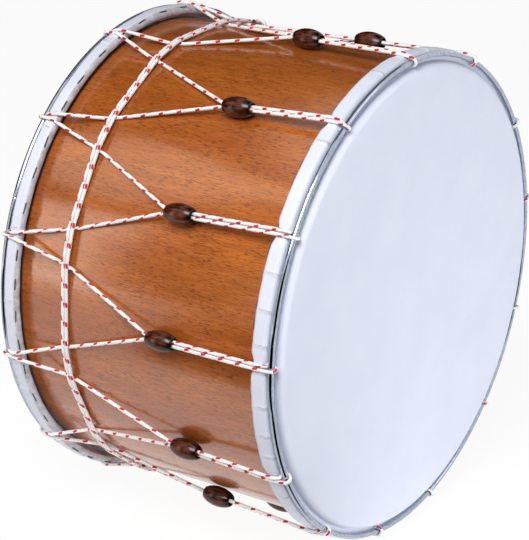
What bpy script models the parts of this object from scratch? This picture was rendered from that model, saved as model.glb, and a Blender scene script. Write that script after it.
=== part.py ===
# Daouli: a rope-tensioned drum with two heads, lying on its side.
# The drum's axis is the Y axis, the near head faces -Y, +Z is up and the
# origin is on the floor under the middle of the shell.
# Units are metres and degrees. Angles round the drum run from the top
# towards +X. Depths run from the near ring's plane towards the far ring.
import math

import bmesh
import bpy
from mathutils import Matrix, Vector

# Clearances
GAP = 0.0003
STRAND_GAP = 0.0005

# Wooden shell
SHELL_RADIUS = 0.200
SHELL_WALL = 0.008
SHELL_LENGTH = 0.278
BEARING_ROUND = 0.005
INNER_EDGE_BEVEL = 0.0015

# Hides, lapped round their flesh hoops
HIDE_THICKNESS = 0.0008
HIDE_CORNER = 0.0030
TUCK_SLIT = 0.0009
FLESH_HOOP_WIDTH = 0.0088
FLESH_HOOP_HEIGHT = 0.0082
FACE_STANDOFF = 0.0052

# Steel tension rings
ROD_RADIUS = 0.00315

# Tension rope, squeezed where it goes round the rings
ROPE_RADIUS = 0.00155
ROPE_SIDES_RESOLUTION = 1
OUTER_SQUEEZE = 0.95
INNER_SQUEEZE = 0.8
WRAP_STEP = 45.0
OUTER_CORNERS = 3
STEM_CLEARANCE = 0.0017
RING_EXIT_CLEARANCE = 0.0008
SKIRT_CROSSING_CLEARANCE = 0.0006
STEM_BEND_INSET = 0.002
CROTCH_LENGTH = 0.0015

# Where the rope was laced by hand: the angle of each loop on the near ring
LOOP_ANGLES = [-1.2, -30.2, -57.9, -86.7, -115.9, -141.8, -168.0,
               -192.0, -222.4, -248.5, -277.7, -300.9, -332.4]
TURN = 360.0

# Sliding tension beads, each over the two strands of one loop. A lean is the angle round
# the drum from a loop's place on the ring to its bead, because no strand is quite square.
BEAD_RADIUS = 0.0086
BEAD_LENGTH = 0.027
BEAD_END_RADIUS = 0.0050
BEAD_BORE_CLEARANCE = 0.00035
BEAD_SEAT_GAP = 0.0004
BEAD_DEPTHS = [0.1045, 0.099, 0.106, 0.105, 0.0975, 0.107, 0.100,
               0.100, 0.098, 0.101, 0.103, 0.099, 0.102]
BEAD_LEANS = [1.8, -1.0, -1.0, -0.7, -0.4, 0.0, 0.0,
              0.0, 0.0, 0.0, 0.0, 0.0, 0.0]

# Belt: a doubled cord drawn round the drum over the legs of the rope
BELT_DEPTH = 0.209
BELT_SPREAD = 4.3
LEG_SLANT_BEFORE_BELT = 0.6
LEG_SLANT_AFTER_BELT = 0.4
BELT_FLAT = 0.006
BELT_KNOT_ANGLE = 24.0
BELT_KNOT_SIZE = (0.008, 0.009, 0.008)
BIGHT_STEPS = 4

# Knot that joins the rope's two ends on the leg to one loop
ROPE_KNOT_LOOP = 10
ROPE_KNOT_SHARE = 0.45
ROPE_KNOT_SIZE = (0.0075, 0.0075, 0.012)
KNOT_CORNER = 0.002

# Facets
TURNED_STEPS = 48
RING_STEPS = 72
ROD_SIDES = 8
BEAD_SIDES = 12
BEAD_RINGS = 5
ROUND_STEPS = 3
SHARP_ANGLE = 35.0
WELD = 0.000003
PARALLEL = 1e-18

# Sizes worked out from the ones above
face_plane = SHELL_LENGTH / 2 + GAP + HIDE_THICKNESS
ring_plane = face_plane - FACE_STANDOFF
ring_spacing = 2 * ring_plane
wrap_half_step = math.radians(WRAP_STEP / 2)
outer_rope = ROPE_RADIUS * OUTER_SQUEEZE
inner_rope = ROPE_RADIUS * INNER_SQUEEZE
outer_wrap = ROD_RADIUS + (outer_rope + GAP) / math.cos(wrap_half_step)
inner_wrap = ROD_RADIUS + (inner_rope + GAP) / math.cos(wrap_half_step)
collar_inner = SHELL_RADIUS + GAP
collar_outer = collar_inner + HIDE_THICKNESS
ring_radius = collar_outer + GAP + inner_rope + inner_wrap
hoop_inner = collar_outer + GAP
hoop_outer = hoop_inner + FLESH_HOOP_WIDTH
skirt_radius = hoop_outer + GAP + HIDE_THICKNESS
skirt_top = inner_wrap + inner_rope + GAP
hoop_top = skirt_top + HIDE_THICKNESS + GAP
hoop_bottom = hoop_top + FLESH_HOOP_HEIGHT
skirt_bottom = hoop_bottom + GAP + HIDE_THICKNESS
rope_on_skirt = skirt_radius + ROPE_RADIUS
stem_radius = rope_on_skirt + STEM_CLEARANCE
stem_depth = skirt_bottom - STEM_BEND_INSET
ring_exit_radius = rope_on_skirt + RING_EXIT_CLEARANCE
ring_exit_depth = skirt_top + ROPE_RADIUS
skirt_crossing_radius = rope_on_skirt + SKIRT_CROSSING_CLEARANCE
strand_offset = ROPE_RADIUS + STRAND_GAP / 2
bead_seat = SHELL_RADIUS + BEAD_SEAT_GAP + BEAD_RADIUS
bead_bore = strand_offset + ROPE_RADIUS + BEAD_BORE_CLEARANCE
under_belt = SHELL_RADIUS + GAP + ROPE_RADIUS
belt_radius = under_belt + 2 * ROPE_RADIUS + GAP
belt_offset = ROPE_RADIUS + STRAND_GAP / 2
loop_count = len(LOOP_ANGLES)
lowest_bead = BEAD_RADIUS + max(-bead_seat * math.cos(math.radians(angle)) for angle in LOOP_ANGLES)
lowest_rope = ROPE_RADIUS + ring_exit_radius
axis_height = max(lowest_bead, lowest_rope)


def clear_scene():
    """Take away whatever the file already holds."""
    for item in list(bpy.data.objects):
        bpy.data.objects.remove(item)


def make_material(name, colour, roughness, metallic=0.0):
    """Principled material with a colour in linear red, green and blue."""
    material = bpy.data.materials.new(name)
    material.use_nodes = True
    shader = material.node_tree.nodes["Principled BSDF"]
    shader.inputs["Base Color"].default_value = (*colour, 1.0)
    shader.inputs["Roughness"].default_value = roughness
    shader.inputs["Metallic"].default_value = metallic
    return material


def add_mesh(name, bm, material):
    """Turn a bmesh into an object with outward faces and smooth shading."""
    bmesh.ops.recalc_face_normals(bm, faces=bm.faces)
    mesh = bpy.data.meshes.new(name)
    bm.to_mesh(mesh)
    bm.free()
    mesh.shade_smooth()
    mesh.set_sharp_from_angle(angle=math.radians(SHARP_ANGLE))
    mesh.materials.append(material)
    item = bpy.data.objects.new(name, mesh)
    bpy.context.scene.collection.objects.link(item)
    return item


def turned_bmesh(profile, steps):
    """Body of revolution about Z from a closed profile of radius and height."""
    bm = bmesh.new()
    corners = [bm.verts.new((radius, 0.0, height)) for radius, height in profile]
    edges = [bm.edges.new((corners[i - 1], corners[i])) for i in range(len(corners))]
    on_axis = [edge for edge in edges if all(abs(v.co.x) < WELD for v in edge.verts)]
    for edge in on_axis:
        bm.edges.remove(edge)
    bmesh.ops.spin(bm, geom=bm.verts[:] + bm.edges[:], cent=(0, 0, 0), axis=(0, 0, 1),
                   angle=math.tau, steps=steps, use_duplicate=False)
    bmesh.ops.remove_doubles(bm, verts=bm.verts, dist=WELD)
    return bm


def stand_on_drum(item, facing):
    """Lay a turned piece on the drum's axis, its height pointing inwards.

    Facing is -1 at the near ring and +1 at the far ring. Height zero lies
    in the ring's plane.
    """
    item.location = (0.0, facing * ring_plane, axis_height)
    item.rotation_euler = (math.radians(facing * 90), 0.0, 0.0)


def arc_profile(centre_radius, centre_height, radius, start, end, steps):
    """Points of an arc; zero degrees points out from the axis, 90 to lower heights."""
    points = []
    for step in range(steps + 1):
        angle = math.radians(start + (end - start) * step / steps)
        points.append((centre_radius + radius * math.cos(angle),
                       centre_height - radius * math.sin(angle)))
    return points


def make_shell(material):
    """Wooden cylinder with rounded bearing edges at both ends."""
    half = SHELL_LENGTH / 2
    inner = SHELL_RADIUS - SHELL_WALL
    centre = SHELL_RADIUS - BEARING_ROUND
    top = arc_profile(centre, BEARING_ROUND - half, BEARING_ROUND, 90, 0, ROUND_STEPS)
    bottom = [(radius, -height) for radius, height in reversed(top)]
    near_bevel = [(inner, INNER_EDGE_BEVEL - half), (inner + INNER_EDGE_BEVEL, -half)]
    far_bevel = [(radius, -height) for radius, height in reversed(near_bevel)]
    shell = add_mesh("shell", turned_bmesh(near_bevel + top + bottom + far_bevel, TURNED_STEPS), material)
    shell.location = (0.0, 0.0, axis_height)
    shell.rotation_euler = (math.radians(-90), 0.0, 0.0)


def make_head(name, facing, material):
    """Hide: flat face, bend over the bearing edge, collar and lap round the hoop."""
    face_top = -FACE_STANDOFF
    bend_radius = SHELL_RADIUS - BEARING_ROUND
    bend_height = face_top + HIDE_THICKNESS + GAP + BEARING_ROUND
    outer_bend = BEARING_ROUND + GAP + HIDE_THICKNESS
    inner_bend = BEARING_ROUND + GAP
    lap_inner = skirt_radius - HIDE_THICKNESS
    lap_top = skirt_top + HIDE_THICKNESS
    lap_bottom = skirt_bottom - HIDE_THICKNESS
    outside = [(0.0, face_top)]
    outside += arc_profile(bend_radius, bend_height, outer_bend, 90, 0, ROUND_STEPS)
    outside += [(collar_outer, skirt_top),
                (skirt_radius - HIDE_CORNER, skirt_top),
                (skirt_radius, skirt_top + HIDE_CORNER),
                (skirt_radius, skirt_bottom - HIDE_CORNER),
                (skirt_radius - HIDE_CORNER, skirt_bottom)]
    tuck = [(collar_inner, skirt_bottom), (collar_inner, lap_top + TUCK_SLIT),
            (collar_outer, lap_top + TUCK_SLIT), (collar_outer, lap_bottom)]
    inside = [(lap_inner - HIDE_CORNER, lap_bottom),
              (lap_inner, lap_bottom - HIDE_CORNER),
              (lap_inner, lap_top + HIDE_CORNER),
              (lap_inner - HIDE_CORNER, lap_top),
              (collar_inner, lap_top)]
    inside += arc_profile(bend_radius, bend_height, inner_bend, 0, 90, ROUND_STEPS)
    inside += [(0.0, face_top + HIDE_THICKNESS)]
    head = add_mesh(name, turned_bmesh(outside + tuck + inside, TURNED_STEPS), material)
    stand_on_drum(head, facing)


def make_flesh_hoop(name, facing, material):
    """Wooden hoop that the hide's edge is lapped round."""
    profile = [(hoop_inner, hoop_top),
               (hoop_outer - HIDE_CORNER, hoop_top),
               (hoop_outer, hoop_top + HIDE_CORNER),
               (hoop_outer, hoop_bottom - HIDE_CORNER),
               (hoop_outer - HIDE_CORNER, hoop_bottom),
               (hoop_inner, hoop_bottom)]
    hoop = add_mesh(name, turned_bmesh(profile, TURNED_STEPS), material)
    stand_on_drum(hoop, facing)


def make_ring(name, facing, material):
    """Steel rod bent into a ring, its corners facing the rope's bends."""
    profile = []
    for side in range(ROD_SIDES):
        angle = math.tau * side / ROD_SIDES
        profile.append((ring_radius + ROD_RADIUS * math.cos(angle), ROD_RADIUS * math.sin(angle)))
    ring = add_mesh(name, turned_bmesh(profile, RING_STEPS), material)
    stand_on_drum(ring, facing)


def on_drum(depth, radius, angle, sideways=0.0):
    """Point by its depth, its distance from the axis and its angle round the drum."""
    turn = math.radians(angle)
    outward = Vector((math.sin(turn), 0.0, math.cos(turn)))
    around = Vector((math.cos(turn), 0.0, -math.sin(turn)))
    base = Vector((0.0, depth - ring_plane, axis_height))
    return base + outward * radius + around * sideways


def far_angle(loop):
    """Angle of the loop on the far ring, midway to the next near loop."""
    turns, index = divmod(loop, loop_count)
    start = LOOP_ANGLES[index]
    end = LOOP_ANGLES[(index + 1) % loop_count]
    if index + 1 == loop_count:
        end -= TURN
    return (start + end) / 2 - TURN * turns


def near_angle(loop):
    """Angle of a loop on the near ring, counted on past a whole turn."""
    turns, index = divmod(loop, loop_count)
    return LOOP_ANGLES[index] - TURN * turns


def ring_wrap(angle, at_far_ring):
    """Points where the rope goes once round a steel ring, outer strand last.

    It comes in behind the rod, goes up its inner side and over its front,
    while it moves across from one strand's place to the other's.
    """
    corners = round(TURN / WRAP_STEP)
    points = []
    for corner in range(1, corners + 1):
        turn = math.radians(-WRAP_STEP * corner)
        over = corner > corners - OUTER_CORNERS
        reach = outer_wrap if over else inner_wrap
        depth = -reach * math.sin(turn)
        across = strand_offset * math.cos(math.pi * (corner - 1) / (corners - 1))
        squeeze = OUTER_SQUEEZE if over else INNER_SQUEEZE
        if at_far_ring:
            depth = ring_spacing - depth
        point = on_drum(depth, ring_radius + reach * math.cos(turn), angle, across)
        points.append((point, squeeze))
    return points


def stem_height(depth, bead_depth):
    """Height of a loop's two strands, on a straight line through their bead."""
    slope = (stem_radius - bead_seat) / (bead_depth - stem_depth)
    return bead_seat + slope * (bead_depth - depth)


def near_loop(loop):
    """Rope from the crotch beyond a bead, round the near ring and back."""
    angle = near_angle(loop)
    bead_depth = BEAD_DEPTHS[loop % loop_count]
    crotch = bead_depth + BEAD_LENGTH / 2 + CROTCH_LENGTH
    crotch_radius = stem_height(crotch, bead_depth)
    lean = BEAD_LEANS[loop % loop_count] * (crotch - stem_depth) / (bead_depth - stem_depth)
    points = [(on_drum(crotch, crotch_radius, angle + lean, strand_offset), 1.0),
              (on_drum(stem_depth, stem_radius, angle, strand_offset), 1.0),
              (on_drum(ring_exit_depth, ring_exit_radius, angle, strand_offset), 1.0)]
    points += ring_wrap(angle, False)
    points += [(on_drum(stem_depth, stem_radius, angle, -strand_offset), 1.0),
               (on_drum(crotch, crotch_radius, angle + lean, -strand_offset), 1.0)]
    return points


def far_leg(angle, side):
    """Rope from under the belt to the far skirt's edge, on one side of a far loop."""
    before = angle + side * (BELT_SPREAD + LEG_SLANT_BEFORE_BELT)
    after = angle + side * (BELT_SPREAD - LEG_SLANT_AFTER_BELT)
    belt_edge = BELT_DEPTH + BELT_FLAT
    skirt_edge = ring_spacing - skirt_bottom
    exit_depth = ring_spacing - ring_exit_depth
    start = under_belt * math.radians(BELT_SPREAD - LEG_SLANT_AFTER_BELT)
    share = (exit_depth - skirt_edge) / (exit_depth - belt_edge)
    sideways = strand_offset + (start - strand_offset) * share
    return [(on_drum(BELT_DEPTH - BELT_FLAT, under_belt, before), 1.0),
            (on_drum(belt_edge, under_belt, after), 1.0),
            (on_drum(skirt_edge, skirt_crossing_radius, angle, side * sideways), 1.0)]


def far_loop(loop):
    """Rope from under the belt, round the far ring and back under the belt."""
    angle = far_angle(loop)
    exit_depth = ring_spacing - ring_exit_depth
    points = far_leg(angle, 1)
    points += [(on_drum(exit_depth, ring_exit_radius, angle, strand_offset), 1.0)]
    points += ring_wrap(angle, True)
    back = far_leg(angle, -1)
    back.reverse()
    points += back
    return points


def make_cord(name, points, material):
    """One unbroken tube through points, each with its share of the rope's radius."""
    curve = bpy.data.curves.new(name, "CURVE")
    curve.dimensions = "3D"
    curve.bevel_depth = ROPE_RADIUS
    curve.bevel_resolution = ROPE_SIDES_RESOLUTION
    curve.resolution_u = 1
    curve.use_fill_caps = True
    spline = curve.splines.new("POLY")
    spline.points.add(len(points) - 1)
    for spline_point, (point, squeeze) in zip(spline.points, points):
        spline_point.co = (*point, 1.0)
        spline_point.radius = squeeze
    spline.use_smooth = True
    curve.materials.append(material)
    item = bpy.data.objects.new(name, curve)
    bpy.context.scene.collection.objects.link(item)


def segment_distance(first, second):
    """Least distance between two straight stretches, each a pair of points."""
    along = first[1] - first[0]
    beside = second[1] - second[0]
    between = first[0] - second[0]
    a, b, c = along.dot(along), along.dot(beside), beside.dot(beside)
    d, e = along.dot(between), beside.dot(between)
    spread = a * c - b * b
    share = 0.0 if spread < PARALLEL else min(1.0, max(0.0, (b * e - c * d) / spread))
    other = min(1.0, max(0.0, (b * share + e) / c))
    share = min(1.0, max(0.0, (b * other - d) / a))
    return (between + along * share - beside * other).length


def least_gap(points):
    """Least gap between the surfaces of stretches that lie apart along the cord."""
    least = math.inf
    travelled = [0.0]
    for (start, _), (end, _) in zip(points, points[1:]):
        travelled.append(travelled[-1] + (end - start).length)
    near_by = math.pi * (ROD_RADIUS + 2 * ROPE_RADIUS)
    for i in range(len(points) - 1):
        for j in range(i + 2, len(points) - 1):
            if travelled[j] - travelled[i + 1] < near_by:
                continue
            first = (points[i][0], points[i + 1][0])
            second = (points[j][0], points[j + 1][0])
            widths = max(points[i][1], points[i + 1][1]) + max(points[j][1], points[j + 1][1])
            least = min(least, segment_distance(first, second) - ROPE_RADIUS * widths)
    return least


def make_knot(name, size, centre, along, outward, material):
    """Knot as a rounded block whose length lies along its cord."""
    bm = bmesh.new()
    bmesh.ops.create_cube(bm, size=1.0)
    bmesh.ops.scale(bm, vec=size, verts=bm.verts)
    bmesh.ops.bevel(bm, geom=bm.edges[:], offset=KNOT_CORNER, segments=1, affect="EDGES")
    knot = add_mesh(name, bm, material)
    length_axis = along.normalized()
    side_axis = length_axis.cross(outward).normalized()
    height_axis = side_axis.cross(length_axis)
    axes = Matrix((side_axis, height_axis, length_axis)).transposed()
    knot.matrix_world = Matrix.Translation(centre) @ axes.to_4x4()


def make_tension_rope(material, knot_material):
    """Lacing from knot to knot, with as many loops on each ring as there are beads."""
    last = ROPE_KNOT_LOOP + loop_count - 1
    points = []
    for loop in range(ROPE_KNOT_LOOP, last + 1):
        points += near_loop(loop)
        points += far_loop(loop)
    belt_end = far_leg(far_angle(ROPE_KNOT_LOOP - 1), -1)[0][0]
    crotch = points[0][0]
    knot_centre = crotch.lerp(belt_end, ROPE_KNOT_SHARE)
    leg = (belt_end - crotch).normalized()
    reach = ROPE_KNOT_SIZE[2] / 2 + GAP
    points.insert(0, (knot_centre - leg * reach, 1.0))
    points.append((knot_centre + leg * reach, 1.0))
    make_cord("tension_rope", points, material)
    print("tension_rope", len(points), "points, least gap to itself",
          round(least_gap(points) * 1000, 2), "mm")
    outward = on_drum(0.0, 1.0, near_angle(ROPE_KNOT_LOOP)) - on_drum(0.0, 0.0, 0.0)
    make_knot("tension_rope_knot", ROPE_KNOT_SIZE, knot_centre, leg, outward, knot_material)


def make_belt(material, knot_material):
    """Doubled cord: once round, a bight at the knot, and once back."""
    crossings = []
    for loop in range(-1, loop_count - 1):
        crossings += [far_angle(loop) + BELT_SPREAD, far_angle(loop) - BELT_SPREAD]
    knot_reach = math.degrees((BELT_KNOT_SIZE[2] / 2 + GAP) / belt_radius)
    first = BELT_KNOT_ANGLE - knot_reach
    bight_reach = math.degrees((belt_offset + ROPE_RADIUS) / belt_radius)
    last = BELT_KNOT_ANGLE - TURN + knot_reach + bight_reach
    there = [first] + crossings + [last]
    near_side = BELT_DEPTH - belt_offset
    far_side = BELT_DEPTH + belt_offset
    points = [(on_drum(near_side, belt_radius, angle), 1.0) for angle in there]
    for step in range(1, BIGHT_STEPS):
        turn = math.pi * step / BIGHT_STEPS
        angle = last - math.degrees(belt_offset * math.sin(turn) / belt_radius)
        points.append((on_drum(BELT_DEPTH - belt_offset * math.cos(turn), belt_radius, angle), 1.0))
    points += [(on_drum(far_side, belt_radius, angle), 1.0) for angle in reversed(there)]
    make_cord("belt_cord", points, material)
    print("belt_cord", len(points), "points, least gap to itself",
          round(least_gap(points) * 1000, 2), "mm")
    centre = on_drum(BELT_DEPTH, belt_radius, BELT_KNOT_ANGLE)
    along = on_drum(BELT_DEPTH, belt_radius, BELT_KNOT_ANGLE, 1.0) - centre
    outward = on_drum(BELT_DEPTH, 1.0, BELT_KNOT_ANGLE) - on_drum(BELT_DEPTH, 0.0, 0.0)
    make_knot("belt_knot", BELT_KNOT_SIZE, centre, along, outward, knot_material)


def make_beads(material):
    """Olive beads with a bore that holds two strands side by side."""
    half = BEAD_LENGTH / 2
    curve_half = half / math.sqrt(1 - (BEAD_END_RADIUS / BEAD_RADIUS) ** 2)
    profile = []
    for ring in range(BEAD_RINGS):
        height = -half + BEAD_LENGTH * ring / (BEAD_RINGS - 1)
        profile.append((BEAD_RADIUS * math.sqrt(1 - (height / curve_half) ** 2), height))
    bore = bead_bore / math.cos(math.pi / BEAD_SIDES)
    profile += [(bore, half), (bore, -half)]
    mesh_source = add_mesh("tension_bead_01", turned_bmesh(profile, BEAD_SIDES), material)
    for index, (angle, lean, depth) in enumerate(zip(LOOP_ANGLES, BEAD_LEANS, BEAD_DEPTHS)):
        bead = mesh_source
        if index:
            bead = bpy.data.objects.new(f"tension_bead_{index + 1:02d}", mesh_source.data)
            bpy.context.scene.collection.objects.link(bead)
        centre = on_drum(depth, bead_seat, angle + lean)
        towards_ring = (on_drum(stem_depth, stem_radius, angle) - centre).normalized()
        tangent = on_drum(0.0, 0.0, angle + lean, 1.0) - on_drum(0.0, 0.0, angle + lean)
        outward = towards_ring.cross(tangent).normalized()
        around = outward.cross(towards_ring)
        axes = Matrix((outward, around, towards_ring)).transposed()
        bead.matrix_world = Matrix.Translation(centre) @ axes.to_4x4()
        end_depth = skirt_bottom + GAP + half
        print(bead.name, "centre", [round(value, 5) for value in centre],
              "slides along", [round(value, 5) for value in towards_ring],
              "for", round(depth - end_depth, 4))


clear_scene()
wood = make_material("mahogany", (0.30, 0.11, 0.035), 0.3)
ash = make_material("hoop_wood", (0.50, 0.33, 0.18), 0.6)
hide = make_material("white_hide", (0.80, 0.82, 0.90), 0.5)
steel = make_material("polished_steel", (0.60, 0.62, 0.65), 0.2, 1.0)
rope = make_material("white_cord", (0.82, 0.80, 0.78), 0.8)
dark_end = make_material("melted_cord_end", (0.05, 0.035, 0.03), 0.6)
dark_wood = make_material("dark_polished_wood", (0.05, 0.018, 0.012), 0.25)

make_shell(wood)
for end, direction in (("near", -1), ("far", 1)):
    make_head(end + "_head", direction, hide)
    make_flesh_hoop(end + "_flesh_hoop", direction, ash)
    make_ring(end + "_steel_ring", direction, steel)
make_tension_rope(rope, rope)
make_belt(rope, dark_end)
make_beads(dark_wood)
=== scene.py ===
import math

import bmesh
import bpy
from mathutils import Matrix, Vector


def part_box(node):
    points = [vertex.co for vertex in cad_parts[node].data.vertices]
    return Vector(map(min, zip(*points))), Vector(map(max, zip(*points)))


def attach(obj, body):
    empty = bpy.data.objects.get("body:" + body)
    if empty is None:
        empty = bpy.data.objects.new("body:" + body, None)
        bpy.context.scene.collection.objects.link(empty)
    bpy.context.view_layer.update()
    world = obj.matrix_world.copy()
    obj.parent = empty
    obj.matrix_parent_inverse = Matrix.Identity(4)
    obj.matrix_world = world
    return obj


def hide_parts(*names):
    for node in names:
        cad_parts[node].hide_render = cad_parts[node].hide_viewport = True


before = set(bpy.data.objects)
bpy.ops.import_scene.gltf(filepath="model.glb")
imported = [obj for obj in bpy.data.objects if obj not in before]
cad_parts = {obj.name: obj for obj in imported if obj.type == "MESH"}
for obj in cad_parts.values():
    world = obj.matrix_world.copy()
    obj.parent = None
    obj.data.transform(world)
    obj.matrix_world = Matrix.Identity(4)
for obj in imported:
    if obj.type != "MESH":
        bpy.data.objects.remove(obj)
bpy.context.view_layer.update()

# The shell is a wide cylinder of mahogany-faced ply, bent and scarfed, its two ends rounded over
# so that they carry the hides. It is stained and sprayed with clear gloss lacquer, and it lies on
# its side, so its axis is level and the near head looks along -Y.
SHELL_RADIUS = 0.200
SHELL_WALL = 0.008
SHELL_HALF = 0.139
BEARING_ROUND = 0.005
SHELL_EASE = 0.0015
shell_low, shell_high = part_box("shell")
AXIS_HEIGHT = (shell_low[2] + shell_high[2]) / 2


def round_corner(centre_radius, centre_place, size, start, end, steps):
    """Points of an arc in a turned outline; 0 degrees is outwards, 90 towards higher places."""
    points = []
    for step in range(steps + 1):
        turn = math.radians(start + (end - start) * step / steps)
        points.append((centre_radius + size * math.cos(turn), centre_place + size * math.sin(turn)))
    return points


def even_turns(count):
    return [math.tau * step / count for step in range(count)]


def turned(name, outline, turns, shift=None):
    """Closed outline of radius and place along the drum, turned round the drum's axis.

    Shift may move a point of the outline at one angle, for folds and dents.
    """
    bm = bmesh.new()
    rows = []
    steps = len(turns)
    for number, (radius, place) in enumerate(outline):
        if radius == 0.0:
            rows.append([bm.verts.new((0.0, place, AXIS_HEIGHT))] * steps)
            continue
        row = []
        for turn in turns:
            out, along = shift(number, radius, place, turn) if shift else (radius, place)
            row.append(bm.verts.new((out * math.sin(turn), along, AXIS_HEIGHT + out * math.cos(turn))))
        rows.append(row)
    for first, second in zip(rows, rows[1:] + rows[:1]):
        for step in range(steps):
            after = (step + 1) % steps
            corners = list(dict.fromkeys((first[step], first[after], second[after], second[step])))
            if len(corners) > 2:
                bm.faces.new(corners)
    return finished(name, bm)


def finished(name, bm):
    """Object made from a bmesh, at the origin, its faces outwards and smooth."""
    bmesh.ops.recalc_face_normals(bm, faces=bm.faces)
    mesh = bpy.data.meshes.new(name)
    bm.to_mesh(mesh)
    bm.free()
    mesh.shade_smooth()
    mesh.set_sharp_from_angle(angle=math.radians(40))
    made = bpy.data.objects.new(name, mesh)
    bpy.context.scene.collection.objects.link(made)
    return made


def linear(code):
    """Colour of a paint chart, as an sRGB hex code, in the shader's linear values."""
    parts = [int(code[start:start + 2], 16) / 255 for start in (1, 3, 5)]
    return [p / 12.92 if p <= 0.04045 else ((p + 0.055) / 1.055) ** 2.4 for p in parts] + [1.0]


def add(tree, kind, sockets=None, **settings):
    """One node, with its settings by name and its inputs as values or as links."""
    node = tree.nodes.new(kind)
    for name, value in settings.items():
        setattr(node, name, value)
    for socket, value in (sockets or {}).items():
        if isinstance(value, bpy.types.NodeSocket):
            tree.links.new(value, node.inputs[socket])
        else:
            node.inputs[socket].default_value = value
    return node


def new_material(name):
    """Material with its tree, its shader and the place of each point on the object."""
    material = bpy.data.materials.new(name)
    material.use_nodes = True
    tree = material.node_tree
    place = add(tree, "ShaderNodeTexCoord").outputs["Object"]
    return material, tree, tree.nodes["Principled BSDF"], place


# Stained mahogany veneer under gloss lacquer. The eye sees a deep orange brown that is more golden
# where the fibres catch the light, broad soft bands, and thousands of short dark pores along the
# drum, 2 to 6 mm long. Real pores are 0.3 mm across, and are drawn 0.5 mm across so that they show.
# Along the far hide's edge the wood is painted nearly black: painted shade of the crevice under the lap.
mahogany, tree, shader, place = new_material("lacquered mahogany veneer")
band = add(tree, "ShaderNodeMapping", {0: place, "Scale": (30.0, 7.0, 30.0)}).outputs[0]
band = add(tree, "ShaderNodeTexNoise", {"Vector": band, "Scale": 1.0, "Detail": 4.0, "Distortion": 0.5})
band = add(tree, "ShaderNodeMapRange", {0: band.outputs[0], 1: 0.35, 2: 0.66}).outputs[0]
fibre = add(tree, "ShaderNodeMapping", {0: place, "Scale": (1500.0, 60.0, 1500.0)}).outputs[0]
fibre = add(tree, "ShaderNodeTexNoise", {"Vector": fibre, "Scale": 1.0, "Detail": 2.0}).outputs[0]
streak = add(tree, "ShaderNodeMapping", {0: place, "Scale": (240.0, 16.0, 240.0)}).outputs[0]
streak = add(tree, "ShaderNodeTexNoise", {"Vector": streak, "Scale": 1.0, "Detail": 3.0}).outputs[0]
pore = add(tree, "ShaderNodeMapping", {0: place, "Scale": (1350.0, 170.0, 1350.0)}).outputs[0]
pore = add(tree, "ShaderNodeTexNoise", {"Vector": pore, "Scale": 1.0, "Detail": 1.0}).outputs[0]
crowd = add(tree, "ShaderNodeMapping", {0: place, "Scale": (60.0, 25.0, 60.0)}).outputs[0]
crowd = add(tree, "ShaderNodeTexNoise", {"Vector": crowd, "Scale": 1.0, "Detail": 2.0}).outputs[0]
least = add(tree, "ShaderNodeMapRange", {0: crowd, 1: 0.35, 2: 0.65, 3: 0.61, 4: 0.54}).outputs[0]
most = add(tree, "ShaderNodeMath", {0: least, 1: 0.06}, operation="ADD").outputs[0]
pore = add(tree, "ShaderNodeMapRange", {0: pore, 1: least, 2: most, 3: 0.0, 4: 0.62}).outputs[0]
wood = add(tree, "ShaderNodeMix", {0: band, 6: linear("#B05D20"), 7: linear("#C8722A")}, data_type="RGBA")
share = add(tree, "ShaderNodeMapRange", {0: streak, 1: 0.38, 2: 0.62, 3: 0.0, 4: 0.4}).outputs[0]
wood = add(tree, "ShaderNodeMix", {0: share, 6: wood.outputs[2], 7: linear("#9A5020")}, data_type="RGBA")
share = add(tree, "ShaderNodeMapRange", {0: fibre, 1: 0.42, 2: 0.62, 3: 0.0, 4: 0.45}).outputs[0]
wood = add(tree, "ShaderNodeMix", {0: share, 6: wood.outputs[2], 7: linear("#8A4416")}, data_type="RGBA")
wood = add(tree, "ShaderNodeMix", {0: pore, 6: wood.outputs[2], 7: linear("#5E2A0C")}, data_type="RGBA")
# Painted shade and painted reflection: the shell turns nearly black in a narrow band just before the far lap, for the
# crevice's shadow and the lap's dark underside mirrored in the lacquer.
painted_crevice_shade = add(tree, "ShaderNodeSeparateXYZ", {0: place}).outputs[1]
painted_crevice_shade = add(tree, "ShaderNodeMapRange", {0: painted_crevice_shade, 1: 0.1212, 2: 0.1226, 3: 0.0, 4: 0.92}).outputs[0]
wood = add(tree, "ShaderNodeMix", {0: painted_crevice_shade, 6: wood.outputs[2], 7: linear("#140903")}, data_type="RGBA")
grain = add(tree, "ShaderNodeBump", {"Strength": 0.1, "Distance": 0.0002, "Height": fibre}).outputs[0]
rough = add(tree, "ShaderNodeMapRange", {0: streak, 3: 0.40, 4: 0.5}).outputs[0]
tree.links.new(wood.outputs[2], shader.inputs["Base Color"])
tree.links.new(rough, shader.inputs["Roughness"])
tree.links.new(grain, shader.inputs["Normal"])
shader.inputs["Metallic"].default_value = 0.15
shader.inputs["Specular IOR Level"].default_value = 0.1
shader.inputs["Coat Weight"].default_value = 1.0
shader.inputs["Coat Roughness"].default_value = 0.17
shader.inputs["Coat IOR"].default_value = 1.8

edge = SHELL_RADIUS - BEARING_ROUND
end = SHELL_HALF - BEARING_ROUND
inside = SHELL_RADIUS - SHELL_WALL
shell_outline = [(inside + SHELL_EASE, SHELL_HALF), (inside, SHELL_HALF - SHELL_EASE)]
shell_outline += [(radius, -along) for radius, along in reversed(shell_outline)]
shell_outline += round_corner(edge, -end, BEARING_ROUND, -90, 0, 10)
shell_outline += round_corner(edge, end, BEARING_ROUND, 0, 90, 10)
shell = turned("mahogany_shell", shell_outline, even_turns(288))
shell.data.materials.append(mahogany)
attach(shell, "drum")
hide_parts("shell")

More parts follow.
